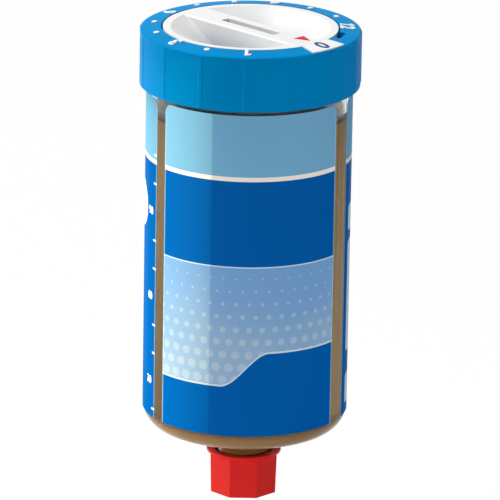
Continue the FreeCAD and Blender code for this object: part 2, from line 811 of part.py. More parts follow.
def build_contact_track():
    """A copper rail with a finger for each setting."""
    body = new_body("contact_track")
    rail = TRACK_OUTER - S.track_rail
    revolve(body, "rail", [
        (rail, BOARD_TOP), (TRACK_OUTER, BOARD_TOP), (TRACK_OUTER, TRACK_TOP),
        (rail, TRACK_TOP)])
    sketch = new_sketch(body, "finger_outline", "XY_Plane", BOARD_TOP)
    root_radius = rail + S.track_rail / 2
    draw_outline(sketch, box(TRACK_INNER, root_radius, S.track_finger_width / 2))
    finger = pad(body, "finger", sketch, S.track_thickness)
    circular_pattern(body, "fingers", finger, MARK_COUNT)
    turned_to(body, S.dial_angle)
    return body


def build_switch_wiper():
    """The sprung contact under the dial, with an arm and a rounded tip."""
    body = new_body("switch_wiper")
    revolve(body, "collar", [
        (S.dial_hub_radius, SWITCH_BOTTOM), (SWITCH_COLLAR, SWITCH_BOTTOM),
        (SWITCH_COLLAR, DIAL_BELLY), (S.dial_hub_radius, DIAL_BELLY)])
    arm = new_sketch(body, "arm_outline", "XY_Plane", SWITCH_BOTTOM)
    start = SWITCH_COLLAR - S.switch_arm_root
    draw_outline(arm, box(start, SWITCH_REACH, S.switch_arm_width / 2))
    pad(body, "arm", arm, S.switch_thickness)
    tip_foot = TRACK_TOP + S.switch_tip_gap
    tip = new_sketch(body, "tip_circle", "XY_Plane", tip_foot)
    draw_circle(tip, SWITCH_REACH - S.switch_tip_radius, length(0), S.switch_tip_radius)
    pad(body, "tip", tip, DIAL_BELLY - tip_foot)
    turned_to(body, S.dial_angle)
    return body


# Dial

def build_dial():
    """A thin-walled dished dial, its grip bar and the hub and pin below it."""
    body = new_body("dial")
    run = S.dish_depth / tangent(S.dish_slope)
    floor_radius = DISH_RADIUS - run
    skirt = DIAL_RADIUS - S.dial_wall
    cone_back = S.dial_wall / cosine(S.dish_slope)
    skirt_top = RING_TOP - cone_back - (DIAL_RADIUS - DIAL_GROOVE_FLOOR)
    hub_foot = DIAL_BELLY - S.dial_hub_length
    groove_head = RING_TOP - S.dial_seal_drop
    groove_foot = groove_head - DIAL_GROOVE_HEIGHT
    revolve(body, "shell", [
        (0, DISH_FLOOR), (floor_radius, DISH_FLOOR), (DISH_RADIUS, RING_TOP),
        (DIAL_RADIUS, RING_TOP), (DIAL_RADIUS, groove_head),
        (DIAL_GROOVE_FLOOR, groove_head), (DIAL_GROOVE_FLOOR, groove_foot),
        (DIAL_RADIUS, groove_foot), (DIAL_RADIUS, DIAL_FLANGE_TOP),
        (DIAL_FLANGE_RADIUS, DIAL_FLANGE_TOP), (DIAL_FLANGE_RADIUS, DIAL_FLANGE_BOTTOM),
        (skirt, DIAL_FLANGE_BOTTOM), (skirt, skirt_top), (DISH_RADIUS, skirt_top),
        (floor_radius, DIAL_BELLY),
        (S.dial_hub_radius, DIAL_BELLY), (S.dial_hub_radius, hub_foot),
        (S.pin_radius, hub_foot), (S.pin_radius, hub_foot - S.pin_length),
        (0, hub_foot - S.pin_length)])
    round_edges(body, "dish_round", [(floor_radius, DISH_FLOOR)], S.dish_round)
    add_grip_bar(body)
    add_detents(body)
    turned_to(body, S.dial_angle)
    return body


def add_grip_bar(body):
    """The bar across the dish, with its slot, its hollow back and the pointer's seat."""
    half = S.bar_width / 2
    reach = root(DISH_RADIUS * DISH_RADIUS - half * half)
    middle = DISH_FLOOR - S.dial_wall / 2
    bar = new_sketch(body, "bar_outline", "XY_Plane", middle)
    end = DISH_RADIUS + S.bar_end_reach
    end_half = S.bar_end_width / 2
    draw_outline(bar, [
        (-reach, -half), (reach, -half), (end, -end_half), (end, end_half),
        (reach, half), (-reach, half), (-end, end_half), (-end, -end_half)])
    pad(body, "bar", bar, RING_TOP - middle)
    round_openings(body)
    slot = new_sketch(body, "slot_outline", "XY_Plane", RING_TOP)
    draw_outline(slot, box(-S.slot_length / 2, S.slot_length / 2, S.slot_width / 2))
    pocket(body, "slot", slot, S.slot_depth)
    hollow_top = RING_TOP - S.slot_depth - S.dial_wall
    hollow = new_sketch(body, "hollow_outline", "XY_Plane", hollow_top)
    inner_half = half - S.dial_wall
    far = S.slot_length / 2
    for side in (1, -1):
        near = S.dial_hub_radius
        draw_outline(hollow, [
            (side * near, -inner_half), (side * far, -inner_half),
            (side * far, inner_half), (side * near, inner_half)])
    pocket(body, "hollow", hollow, hollow_top - DIAL_BELLY)
    seat = new_sketch(body, "pointer_seat_outline", "XY_Plane", RING_TOP)
    draw_outline(seat, pointer_points())
    pocket(body, "pointer_seat", seat, S.inlay_depth)


def round_openings(body):
    """Rolls the top edges round the dish's two openings: the rim's arcs, the bar's sides."""
    DOCUMENT.recompute()
    base = body.Tip
    names = []
    for number, edge in enumerate(base.Shape.Edges, start=1):
        limits = edge.BoundBox
        lowest, highest = limits.ZMin, limits.ZMax
        level = lowest > RING_TOP.value - EDGE_REACH and highest < RING_TOP.value + EDGE_REACH
        inside = max(limits.XMax, limits.YMax) < DISH_RADIUS.value + EDGE_REACH
        if level and inside:
            names.append(f"Edge{number}")
    roll = body.newObject("PartDesign::Fillet", f"{body.Label}_openings")
    roll.Base = (base, names)
    roll.Radius = S.opening_edge.value
    roll.setExpression("Radius", S.opening_edge.text)


def pointer_points():
    """The triangle near the bar's end; its tip points outwards."""
    tip = DISH_RADIUS - S.pointer_margin
    back = tip - S.pointer_length
    half = S.pointer_base / 2
    return [(back, S.pointer_side - half), (tip, S.pointer_side), (back, S.pointer_side + half)]


def add_detents(body):
    """Shallow notches round the flange, one for each place of the marks."""
    sketch = new_sketch(body, "detent_outline", "XY_Plane", DIAL_FLANGE_TOP)
    bottom = DIAL_FLANGE_RADIUS - S.detent_depth
    bottom_half = S.detent_root_width / 2
    mouth_half = S.detent_mouth_width / 2
    outside = DIAL_FLANGE_RADIUS + S.detent_depth
    draw_outline(sketch, [
        (bottom, -bottom_half), (outside, -mouth_half), (outside, mouth_half),
        (bottom, bottom_half)])
    notch = pocket(body, "detent", sketch, S.dial_flange_height)
    circular_pattern(body, "detents", notch, MARK_COUNT)


def build_pointer():
    """The red triangle let into the grip bar."""
    body = new_body("dial_pointer")
    foot = RING_TOP - S.inlay_depth
    sketch = new_sketch(body, "outline", "XY_Plane", foot)
    draw_outline(sketch, pointer_points())
    pad(body, "inlay", sketch, S.inlay_depth + S.pointer_rise)
    turned_to(body, S.dial_angle)
    return body


def build_detent_spring():
    """A spring leaf on the housing's rim whose bump faces the dial's notches."""
    body = new_body("detent_spring")
    outer = LEAF_RADIUS
    inner = outer - S.leaf_thickness
    start = S.dial_angle + S.mark_pitch * LEAF_MARK - S.leaf_sweep / 2
    head = DIAL_FLANGE_TOP - S.leaf_top_gap
    revolve(body, "leaf", [
        (inner, HOUSING_TOP), (outer, HOUSING_TOP), (outer, head), (inner, head)],
        start, S.leaf_sweep)
    sketch = new_sketch(body, "bump_outline", "XY_Plane", HOUSING_TOP)
    half = S.leaf_bump_width / 2
    middle = (inner + outer) / 2
    tip_half = S.leaf_bump_tip / 2
    corners = [(middle, half), (LEAF_TIP, tip_half), (LEAF_TIP, -tip_half), (middle, -half)]
    draw_outline(sketch, turned(corners, S.leaf_sweep / 2))
    pad(body, "bump", sketch, head - HOUSING_TOP)
    return body


# Top ring

def ring_top_at(radius):
    """Height of the ring's sloping top at a radius."""
    slope = S.ring_drop / (RING_RADIUS - RING_MOUTH)
    return RING_TOP - (radius - RING_MOUTH) * slope


def build_top_ring():
    """The blue ring: fine upright ribs with nearly round faces between them."""
    body = new_body("top_ring")
    bead_middle = CONTAINER_TOP - S.snap_bead_drop
    bead_half = S.snap_bead_width / 2 + S.ring_bore_gap
    bead_radius = RING_BORE + S.snap_bead
    edge_top = RING_TOP - S.ring_drop
    revolve(body, "band", [
        (RING_BORE, RING_BOTTOM), (RING_RADIUS - S.ring_foot_chamfer, RING_BOTTOM),
        (RING_RADIUS, RING_BOTTOM + S.ring_foot_chamfer), (RING_RADIUS, edge_top),
        (RING_MOUTH, RING_TOP), (RING_MOUTH, CONTAINER_TOP), (RING_BORE, CONTAINER_TOP),
        (RING_BORE, bead_middle + bead_half), (bead_radius, bead_middle),
        (RING_BORE, bead_middle - bead_half)])
    round_edges(body, "shoulder", [(RING_RADIUS, edge_top)], S.ring_edge)
    add_ring_faces(body)
    add_pry_notch(body)
    turned_to(body, S.ring_angle)
    return body


def add_ring_faces(body):
    """Cuts the shallow face between two ribs and repeats it round the ring."""
    sketch = new_sketch(body, "face_outline", "XY_Plane", RING_TOP + S.overcut)
    half = S.mark_pitch / 2
    rib = S.rib_width / 2 / RING_RADIUS * DEGREES
    flank = S.rib_flank / RING_RADIUS * DEGREES
    face_end = RING_RADIUS - S.face_depth
    lean = half - rib - flank
    sagitta_drop = S.face_radius - root(
        S.face_radius * S.face_radius
        - face_end * face_end * sine(lean) * sine(lean))
    bulge = face_end * cosine(lean) + sagitta_drop
    outside = RING_RADIUS + S.overcut
    corners = [
        polar(face_end, -lean), polar(RING_RADIUS, -(lean + flank)),
        polar(outside, -(lean + flank)), polar(outside, lean + flank),
        polar(RING_RADIUS, lean + flank), polar(face_end, lean)]
    draw_outline(sketch, corners, {len(corners) - 1: ((bulge, 0), S.face_radius)})
    face = pocket(body, "face", sketch, S.ring_height + S.overcut * 2)
    circular_pattern(body, "faces", face, MARK_COUNT)


def add_pry_notch(body):
    """A notch in the ring's mouth, beside the zero mark, to pry the dial out."""
    sketch = new_sketch(body, "notch_outline", "XY_Plane", RING_TOP + S.overcut)
    inner = RING_MOUTH - S.overcut
    outer = RING_MOUTH + S.notch_length
    draw_outline(sketch, turned(box(inner, outer, S.notch_width / 2), S.notch_angle))
    pocket(body, "notch", sketch, S.notch_depth + S.overcut)


def build_zero_flag():
    """The white pad at the ring's zero mark, following the ring's slope."""
    body = new_body("zero_flag")
    inner = RING_MOUTH + S.flag_mouth_gap
    outer = RING_RADIUS - S.flag_margin
    inner_top = ring_top_at(inner)
    outer_top = ring_top_at(outer)
    revolve(body, "slab", [
        (inner, inner_top), (outer, outer_top), (outer, outer_top + S.flag_rise),
        (inner, inner_top + S.flag_rise)], S.flag_angle - S.mark_pitch / 2, S.mark_pitch)
    return body


# The whole lubricator

def build_all():
    pieces = [
        build_closing_cap(), build_container(), build_lubricant(),
        build_label("label_front", S.label_front_start, S.label_front_sweep),
        build_label("label_right", S.label_right_start, S.label_right_sweep),
        build_label("label_left", S.label_left_start, S.label_left_sweep),
        build_piston(), build_piston_seal(), build_drive_housing(),
        build_circuit_board(), build_contact_track(), build_switch_wiper(),
        build_cell("battery_1", 0), build_cell("battery_2", 1),
        build_cell("gas_cell", 2, port=True), build_link_strip(), build_gas_contact(),
        build_top_contact("contact_battery_1", 0),
        build_top_contact("contact_battery_2", 1),
        build_top_contact("contact_gas_cell", 2),
        build_dial(), build_pointer(), build_detent_spring(),
        build_top_ring(), build_zero_flag()]
    pieces.append(build_o_ring(
        "drive_seal_ring", (DRIVE_GROOVE_FLOOR + RIM_BORE) / 2,
        HOUSING_TOP - S.drive_seal_drop - DRIVE_GROOVE_HEIGHT / 2, S.drive_seal_section))
    pieces.append(build_o_ring(
        "dial_seal_ring", (DIAL_GROOVE_FLOOR + RING_MOUTH) / 2,
        RING_TOP - S.dial_seal_drop - DIAL_GROOVE_HEIGHT / 2, S.dial_seal_section))
    DOCUMENT.recompute()
    return pieces


def check_document(pieces):
    """Stops on any failed object or broken shape before anything is written."""
    for item in DOCUMENT.Objects:
        if "Invalid" in item.State or "Error" in item.State:
            raise RuntimeError(f"{item.Label} failed: {item.State}")
    for piece in pieces:
        if piece.Shape.isNull() or not piece.Shape.isValid():
            raise RuntimeError(f"{piece.Label} has a broken shape")


def write_steps(pieces):
    os.makedirs("parts", exist_ok=True)
    for piece in pieces:
        piece.Shape.exportStep(os.path.join("parts", f"{piece.Label}.step"))
        bounds = piece.Shape.BoundBox
        print(f"{piece.Label:20s} solids {len(piece.Shape.Solids)} volume "
              f"{piece.Shape.Volume:10.2f}  z {bounds.ZMin:7.2f} to {bounds.ZMax:7.2f}")


PIECES = build_all()
check_document(PIECES)
write_steps(PIECES)
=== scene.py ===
import math

import bpy
from mathutils import Matrix, Vector


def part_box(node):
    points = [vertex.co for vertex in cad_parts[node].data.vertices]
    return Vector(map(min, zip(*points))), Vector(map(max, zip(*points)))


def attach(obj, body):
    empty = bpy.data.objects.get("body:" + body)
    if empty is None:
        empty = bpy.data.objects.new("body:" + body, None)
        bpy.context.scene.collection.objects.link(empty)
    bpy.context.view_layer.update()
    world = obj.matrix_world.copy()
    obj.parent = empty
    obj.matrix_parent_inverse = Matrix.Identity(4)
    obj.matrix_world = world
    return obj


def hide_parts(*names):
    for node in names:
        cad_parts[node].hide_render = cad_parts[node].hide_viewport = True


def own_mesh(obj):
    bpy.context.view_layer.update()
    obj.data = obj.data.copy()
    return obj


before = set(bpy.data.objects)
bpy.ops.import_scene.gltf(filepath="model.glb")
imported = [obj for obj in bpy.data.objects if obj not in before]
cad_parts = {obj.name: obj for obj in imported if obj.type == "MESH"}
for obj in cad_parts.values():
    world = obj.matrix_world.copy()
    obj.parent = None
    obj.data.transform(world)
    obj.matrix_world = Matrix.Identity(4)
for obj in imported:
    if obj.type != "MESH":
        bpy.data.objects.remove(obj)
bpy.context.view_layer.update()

# Automatic lubricator, dressed for its picture. The foot of the closing cap is on
# z = 0, the axis is Z and -Y is the front. Sizes are in millimetres and angles in
# degrees, counted on plan from +X. MM turns a size into metres.

MM = 0.001


def heights(node):
    """The foot and the head of a CAD node."""
    low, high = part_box(node)
    return low.z / MM, high.z / MM


# Container and its filling. The piston pushes the column down to the rest, which
# stays below it. The filling is widened a little, so that no air shows round it.
BORE = 23.0
FILL_HEAD = heights("lubricant_fill")[1]
PISTON_STROKE = 75.2
FILL_LEFT = 0.3
FILL_FOOT = FILL_HEAD - PISTON_STROKE - FILL_LEFT
FILL_REACH = 0.08
SHELL_IOR = 1.12
# Below the labels the filling's brown is painted into the clear wall, as refraction
# would show it: fully at the lower height, and not at all above the upper one
BROWN_HEIGHTS = (20.0, 23.0)
BROWN_SHARE = 0.78
# A dark line and a grey band painted into the top of the filling, just under the
# piston: the heights from the filling's head where each starts and where it is full
DARK_BAND_HEIGHTS = (-1.7, -1.4)
GREY_BAND_HEIGHTS = (-0.9, -0.6)

# Label panels: where each starts and how far it goes round, anticlockwise on plan
LABEL_RADIUS = 25.08
LABEL_STARTS = {"label_front": -143.0, "label_right": -20.0, "label_left": 99.0}
LABEL_SWEEPS = {"label_front": 109.5, "label_right": 109.0, "label_left": 109.5}
LABEL_FOOT, LABEL_HEAD = heights("label_front")
# How far each film mirrors the studio as metal does
LABEL_METAL = {"label_front": 0.85, "label_right": 0.25, "label_left": 0.1}
# A pale header over a thin line, and a painted highlight along the film's edges
HEADER_FOOT = 87.2
HEADER_LINE = 1.1
LABEL_EDGE = 0.28
EDGE_HIGHLIGHT_SHARE = 0.45
# Window of the front panel: its head, its foot at the left and at the right, where
# the foot climbs, and half the width of its rim at the foot and at the head
WINDOW_HEAD = 64.6
WINDOW_FOOT = (34.5, 43.0)
WINDOW_STEP = (17.0, 29.0)
WINDOW_RIM = (0.22, 0.15)
WINDOW_FADE = (WINDOW_FOOT[0] + 8.0, WINDOW_HEAD + 18.0)
WINDOW_CLOUD = 30.0
# Dots of the window: their pitch, and in pitches their radius low and high up
DOT_PITCH = 3.2
DOT_SIZES = (0.36, 0.08)
DOT_BLUR = 0.03
DOT_SHARE = 0.34
# Level scale of the left panel: ticks, with a number in place of every third
SCALE_FOOT = 23.9
SCALE_HEAD = 90.0
SCALE_PITCH = 7.16
TICK_LENGTH = 1.5
TICK_SHARE = 0.035
SCALE_NUMBERS = {1: "30", 4: "60", 7: "90"}
SCALE_NUMBER_HEIGHT = 2.0
SCALE_NUMBER_ANGLE = -158.3
# White disc of the left panel: its middle across and up, and its radius
DISC = (36.3, 74.0, 6.0)
# White fields of the right panel: the foot and head of each, and their sides
FIELDS = ((24.2, 31.8), (37.6, 66.0), (68.4, 75.0))
FIELD_SPAN = (3.0, 45.0)
FIELD_CORNER = 1.2

# Marks on the top ring: twelve places, numerals at some of them and dots between
RING_TOP = heights("top_ring")[1]
RING_MOUTH = 21.65
# The ring's top falls by 0.6 over the 5.35 from its mouth to its rim
RING_SLOPE = 0.6 / 5.35
MARK_COUNT = 12
MARK_FIRST_ANGLE = -92.1
MARK_PITCH = 24.0
MARK_RADIUS = 23.5
MARK_RAISE = 0.25
NUMERALS = {0: "1", 2: "3", 5: "6", 8: "9", 11: "12"}
NUMERAL_HEIGHT = 3.7
NUMERAL_BEVEL = 0.06
TEXT_WEIGHT = 0.035
TEXT_STEPS = 4
# The slanting stroke of a one: its length and width, how far it lies to the left of
# the stem's left side and below its head, and its share of the numeral's depth
SLANT_SIZE = (1.35, 0.55)
SLANT_ANGLE = 42.0
SLANT_PLACE = (-0.2, -0.62)
SLANT_DEPTH = 0.96
DOT_RADIUS = 0.7
DOT_SIDES = 24
DOT_ROLL = 0.16
DOT_CROWN = 0.08
# The nought printed on the white pad
FLAG_RISE = 0.3
FLAG_ANGLE = -43.4
FLAG_MARK_HEIGHT = 4.3
PRINT_RAISE = 0.04

# Painted shade on the ring's side and in the dial's dish: the depths below the ring's
# top where each is full and where it starts
SIDE_DEPTHS = (2.2, 1.2)
SIDE_PAINTED_SHADE = 0.6
SIDE_METAL = 0.34
DISH_DEPTHS = (6.8, 0.6)

# Outlet thread, R 1/4
THREAD_FOOT = 2.3
THREAD_HEAD = 12.9
THREAD_ROOT = 6.15
THREAD_CREST = 6.58
THREAD_PITCH = 1.337
THREAD_TAPER = 1 / 32
THREAD_SINK = 0.1
THREAD_FLANK = 0.96
THREAD_STEPS = 36
THREAD_SMOOTH = 50.0

# Camera: it looks down at the middle of the object, then aims a little beside it
CAMERA_TILT = 17.153
CAMERA_ROLL = 0.957
CAMERA_DISTANCE = 1500 * MM
CAMERA_LENS = 443.03
SENSOR_WIDTH = 36.0
CAMERA_AIM = Vector((0.731, 0.0, -3.353)) * MM
MIDDLE = Vector((0.0, 0.0, 64.87)) * MM

# Studio: greys of the air and the paper, and how white each is to the camera and in
# a mirror. The floor is low enough for the cap to come off downwards.
AIR_GREY = 0.2
PAPER_GREY = 0.86
PAPER_WHITE = 0.96
MIRRORED_WHITE = 0.55
FLOOR_DROP = 14.4
FLOOR_SIZE = 6
# Glowing panel at the left: its ends on plan, its heights, where its glow is full,
# its glow in front and behind, and its tint
PANEL_FRONT = Vector((-48.2, -68.7))
PANEL_BACK = Vector((-66.0, 95.0))
PANEL_HEIGHTS = (1.0, 106.0)
PANEL_BRIGHT = 40.0
PANEL_GLOW = (1.25, 2.7)
PANEL_TINT = (1.08, 1.03, 0.88)
# Lights, in metres and watts: place, aim, width, height, power
TOP_LIGHT = ((-0.55, 0.2, 0.95), (0, 0, 0.1), 0.6, 0.6, 12.2)
RIGHT_FILL = ((0.6, -0.55, 0.1), (0, 0, 0.03), 0.5, 0.3, 1.4)


# Working with the mesh tools

def clear_selection():
    """Leaves edit mode and selects nothing."""
    if bpy.context.object and bpy.context.object.mode == "EDIT":
        bpy.ops.object.mode_set(mode="OBJECT")
    bpy.ops.object.select_all(action="DESELECT")


def take(piece):
    """Makes a piece the only one that the next operator works on."""
    clear_selection()
    piece.select_set(True)
    bpy.context.view_layer.objects.active = piece


def start_editing():
    """Opens the active piece for editing, selected all over."""
    bpy.ops.object.mode_set(mode="EDIT")
    bpy.ops.mesh.select_all(action="SELECT")


def named(name):
    """Names the new active object and its mesh."""
    piece = bpy.context.object
    piece.name = name
    piece.data.name = name
    return piece


def smooth(piece, angle=35.0):
    """Shades a piece smooth, with its sharp edges kept."""
    take(piece)
    bpy.ops.object.shade_smooth_by_angle(angle=math.radians(angle))


def copy_of(piece, name):
    """A copy with its own mesh."""
    twin = piece.copy()
    twin.data = piece.data.copy()
    twin.name = twin.data.name = name
    bpy.context.collection.objects.link(twin)
    return twin


def finish_with(piece, finish):
    """Gives a piece one material."""
    piece.data.materials.clear()
    piece.data.materials.append(finish.material)


def polar(radius, angle, height):
    """A point in metres from its place round the axis."""
    turn = math.radians(angle)
    return Vector((radius * math.cos(turn), radius * math.sin(turn), height)) * MM


# Shaders

def paint(red, green, blue):
    """A colour as a screen shows it, from 0 to 255, made linear."""
    def linear(level):
        level /= 255
        return level / 12.92 if level <= 0.04045 else ((level + 0.055) / 1.055) ** 2.4
    return (linear(red), linear(green), linear(blue), 1.0)


class Value:
    """A socket with a number that changes over the surface."""

    def __init__(self, nodes, socket):
        self.nodes = nodes
        self.socket = socket

    def maths(self, operation, first, second=None):
        """A Math node on one or two numbers."""
        inputs = {0: first} if second is None else {0: first, 1: second}
        return self.nodes.node("Math", {"operation": operation}, inputs)

    def __add__(self, other):
        return self.maths("ADD", self, other)

    def __radd__(self, other):
        return self.maths("ADD", other, self)

    def __sub__(self, other):
        return self.maths("SUBTRACT", self, other)

    def __rsub__(self, other):
        return self.maths("SUBTRACT", other, self)

    def __mul__(self, other):
        return self.maths("MULTIPLY", self, other)

    def __rmul__(self, other):
        return self.maths("MULTIPLY", other, self)

    def __truediv__(self, other):
        return self.maths("DIVIDE", self, other)

    def __rtruediv__(self, other):
        return self.maths("DIVIDE", other, self)

    def __mod__(self, other):
        return self.maths("FLOORED_MODULO", self, other)

    def __rmod__(self, other):
        return self.maths("FLOORED_MODULO", other, self)

    def __pow__(self, other):
        return self.maths("POWER", self, other)

    def __rpow__(self, other):
        return self.maths("POWER", other, self)

    def __gt__(self, other):
        return self.maths("GREATER_THAN", self, other)

    def __lt__(self, other):
        return self.maths("LESS_THAN", self, other)

    def __or__(self, other):
        return self.maths("MAXIMUM", self, other)

    def __ror__(self, other):
        return self.maths("MAXIMUM", other, self)

    def __abs__(self):
        return self.maths("ABSOLUTE", self)

    def between(self, low, high):
        """1 where the number lies between two others, else 0."""
        return (self > low) * (self < high)


class Nodes:
    """Adds nodes to one node tree."""

    def __init__(self, tree):
        self.tree = tree

    def node(self, kind, settings=None, inputs=None, output=0):
        """Adds a node: its settings first, then its sockets, and gives an output."""
        node = self.tree.nodes.new("ShaderNode" + kind)
        for name, value in (settings or {}).items():
            setattr(node, name, value)
        for name, value in (inputs or {}).items():
            self.feed(node.inputs[name], value)
        return Value(self, node.outputs[output])

    def feed(self, socket, value):
        """Links a value to a socket, or sets the socket to a constant."""
        if isinstance(value, Value):
            self.tree.links.new(value.socket, socket)
        else:
            socket.default_value = value

    def mix(self, mask, first, second):
        """The first colour where the mask is 0, the second where it is 1."""
        return self.node(
            "Mix", {"data_type": "RGBA"}, {0: mask, 6: first, 7: second}, output=2)

    def seen_white(self):
        """1 for what the camera sees, also through clear plastic, less for mirrors, else 0."""
        mirrored = self.node("LightPath", output="Is Glossy Ray")
        path = mirrored.socket.node.outputs
        seen = mirrored * MIRRORED_WHITE
        for ray in ("Is Camera Ray", "Is Transmission Ray"):
            seen = seen | Value(self, path[ray])
        return seen


class Finish(Nodes):
    """One material: a Principled shader and the nodes that feed it."""

    def __init__(self, name, **constants):
        self.material = bpy.data.materials.new(name)
        self.material.use_nodes = True
        super().__init__(self.material.node_tree)
        self.shader = self.tree.nodes["Principled BSDF"]
        for socket, value in constants.items():
            self.shader.inputs[socket.replace("_", " ")].default_value = value
        place = self.node("TexCoord", output="Object")
        self.place = self.node(
            "VectorMath", {"operation": "SCALE"}, {0: place, "Scale": 1 / MM})
        self.x = self.node("SeparateXYZ", inputs={0: self.place}, output="X")
        self.y = Value(self, self.x.socket.node.outputs["Y"])
        self.z = Value(self, self.x.socket.node.outputs["Z"])

    def set(self, name, value):
        """Feeds one of the Principled shader's sockets."""
        self.feed(self.shader.inputs[name], value)

    def show(self, shader):
        """Makes a shader the material's surface."""
        self.feed(self.tree.nodes["Material Output"].inputs["Surface"], shader)

    def cover(self, share, shader):
        """Lays a second shader over the Principled one, by a share from 0 to 1."""
        under = Value(self, self.shader.outputs["BSDF"])
        self.show(self.node("MixShader", inputs={0: share, 1: under, 2: shader}))

    def noise(self, scale, detail=3.0, stretch=(1, 1, 1)):
        """Soft clouds, scale in waves per millimetre."""
        place = self.node(
            "VectorMath", {"operation": "MULTIPLY"}, {0: self.place, 1: stretch})
        return self.node("TexNoise", inputs={
            "Vector": place, "Scale": scale, "Detail": detail})

    def rise(self, value, start, end, low=0.0, high=1.0):
        """Climbs smoothly from low to high as the value goes from start to end."""
        return self.node(
            "MapRange", {"interpolation_type": "SMOOTHSTEP"},
            {"Value": value, "From Min": start, "From Max": end,
             "To Min": low, "To Max": high})

    def angle(self, start):
        """The angle on plan in radians, from 0 at the start angle."""
        turn = self.y.maths("ARCTAN2", self.y, self.x)
        return (turn - math.radians(start)) % math.tau

    def bump(self, height, depth):
        """Raises the surface by the height times a depth in millimetres."""
        return self.node(
            "Bump", inputs={"Height": height, "Distance": depth * MM}, output="Normal")


# Plastics and metals

# Moulded pieces: light tone, dark tone, grain, roughness, specular level
MOULDED = {
    "cap_red": ((224, 35, 32), (217, 31, 30), 0.012, 0.4, 0.12),
    "piston_plastic": ((116, 116, 117), (107, 107, 108), 0.012, 0.5, 0.5),
    "piston_seal": ((113, 113, 113), (104, 104, 104), 0.02, 0.55, 0.5),
    "seal_rubber": ((34, 34, 36), (24, 24, 26), 0.02, 0.6, 0.5),
    "housing_plastic": ((206, 206, 202), (190, 190, 186), 0.012, 0.4, 0.5),
    "dial_white": ((245, 245, 244), (240, 241, 241), 0.01, 0.34, 0.5),
    "pointer_red": ((228, 14, 10), (220, 12, 9), 0.008, 0.4, 0.1),
    "ring_blue": ((0, 143, 208), (0, 138, 203), 0.012, 0.36, 0.01),
    "flag_white": ((254, 254, 253), (248, 249, 248), 0.008, 0.36, 0.5),
    "mark_print": ((24, 66, 128), (20, 58, 118), 0.004, 0.5, 0.5)}

# Sheet metal pieces: light tone, dark tone, roughness
SHEET_METAL = {
    "copper": ((226, 158, 118), (196, 128, 92), 0.32),
    "spring_metal": ((214, 190, 130), (190, 166, 108), 0.3),
    "cell_steel": ((206, 206, 208), (184, 184, 188), 0.25),
    "nickel": ((200, 196, 188), (178, 174, 166), 0.3),
    "spring_steel": ((190, 192, 196), (166, 168, 172), 0.28)}
BRUSHED = 0.004


def moulded(name, **constants):
    """Injection-moulded plastic: faint flow clouds and a fine grain."""
    light, dark, grain, roughness, specular = MOULDED[name]
    finish = Finish(name, Specular_IOR_Level=specular, **constants)
    clouds = finish.rise(finish.noise(0.09, 2.0), 0.3, 0.7)
    finish.base = finish.mix(clouds, paint(*dark), paint(*light))
    finish.set("Base Color", finish.base)
    scuffs = finish.noise(0.9, 4.0)
    finish.set("Roughness", finish.rise(scuffs, 0.25, 0.8, roughness - 0.05, roughness + 0.07))
    finish.set("Normal", finish.bump(finish.noise(3.5, 2.0), grain))
    return finish


def sheet_metal(name):
    """Rolled sheet: long fine brush lines and a few dull clouds."""
    light, dark, roughness = SHEET_METAL[name]
    finish = Finish(name, Metallic=1.0)
    lines = finish.noise(2.0, 3.0, stretch=(1, 12, 4))
    finish.set("Base Color", finish.mix(lines, paint(*dark), paint(*light)))
    clouds = finish.noise(0.3, 2.0)
    finish.set("Roughness", finish.rise(clouds, 0.3, 0.7, roughness - 0.06, roughness + 0.08))
    finish.set("Normal", finish.bump(lines, BRUSHED))
    return finish


def dial_white():
    """White dial with painted shade that deepens towards the bottom of its dish."""
    finish = moulded("dial_white")
    deep, shallow = DISH_DEPTHS
    # Painted shade: the dish darkens to a blue grey, fully deep down and not at all near its rim
    shaded = finish.rise(finish.z, RING_TOP - deep, RING_TOP - shallow, 1.0, 0.0)
    finish.set("Base Color", finish.mix(shaded, finish.base, paint(184, 190, 198)))
    return finish


def ring_blue():
    """Blue ring with painted shade on its ribbed side, which is also glossier than its top."""
    finish = moulded("ring_blue", Specular_Tint=(0.02, 0.3, 0.6, 1))
    low, high = SIDE_DEPTHS
    # Painted shade on the side below the top: a darker blue, and some metallic gloss
    side = finish.rise(finish.z, RING_TOP - low, RING_TOP - high, 1.0, 0.0)
    finish.set("Base Color", finish.mix(side * SIDE_PAINTED_SHADE, finish.base, paint(0, 130, 192)))
    finish.set("Metallic", side * SIDE_METAL)
    return finish


def clear_shell():
    """Clear blown plastic, slightly wavy, with the filling's brown painted in below the labels as
    refraction would show it.
    """
    finish = Finish("clear_shell", Transmission_Weight=1.0, IOR=SHELL_IOR)
    clouds = finish.noise(0.12, 2.0)
    waves = finish.bump(finish.noise(0.2, 2.0), 0.03)
    finish.set("Base Color", finish.mix(clouds, paint(250, 250, 247), paint(255, 255, 253)))
    finish.set("Roughness", finish.rise(clouds, 0.3, 0.7, 0.03, 0.07))
    finish.set("Normal", waves)
    # Painted refraction: a brown layer standing in for the filling seen through the wall
    brown = finish.node("BsdfPrincipled", inputs={
        "Base Color": finish.mix(clouds, paint(146, 112, 68), paint(158, 123, 79)),
        "Roughness": 0.2, "Specular IOR Level": 0.25, "Normal": waves}, output="BSDF")
    finish.cover(finish.rise(finish.z, *BROWN_HEIGHTS, BROWN_SHARE, 0.0), brown)
    return finish


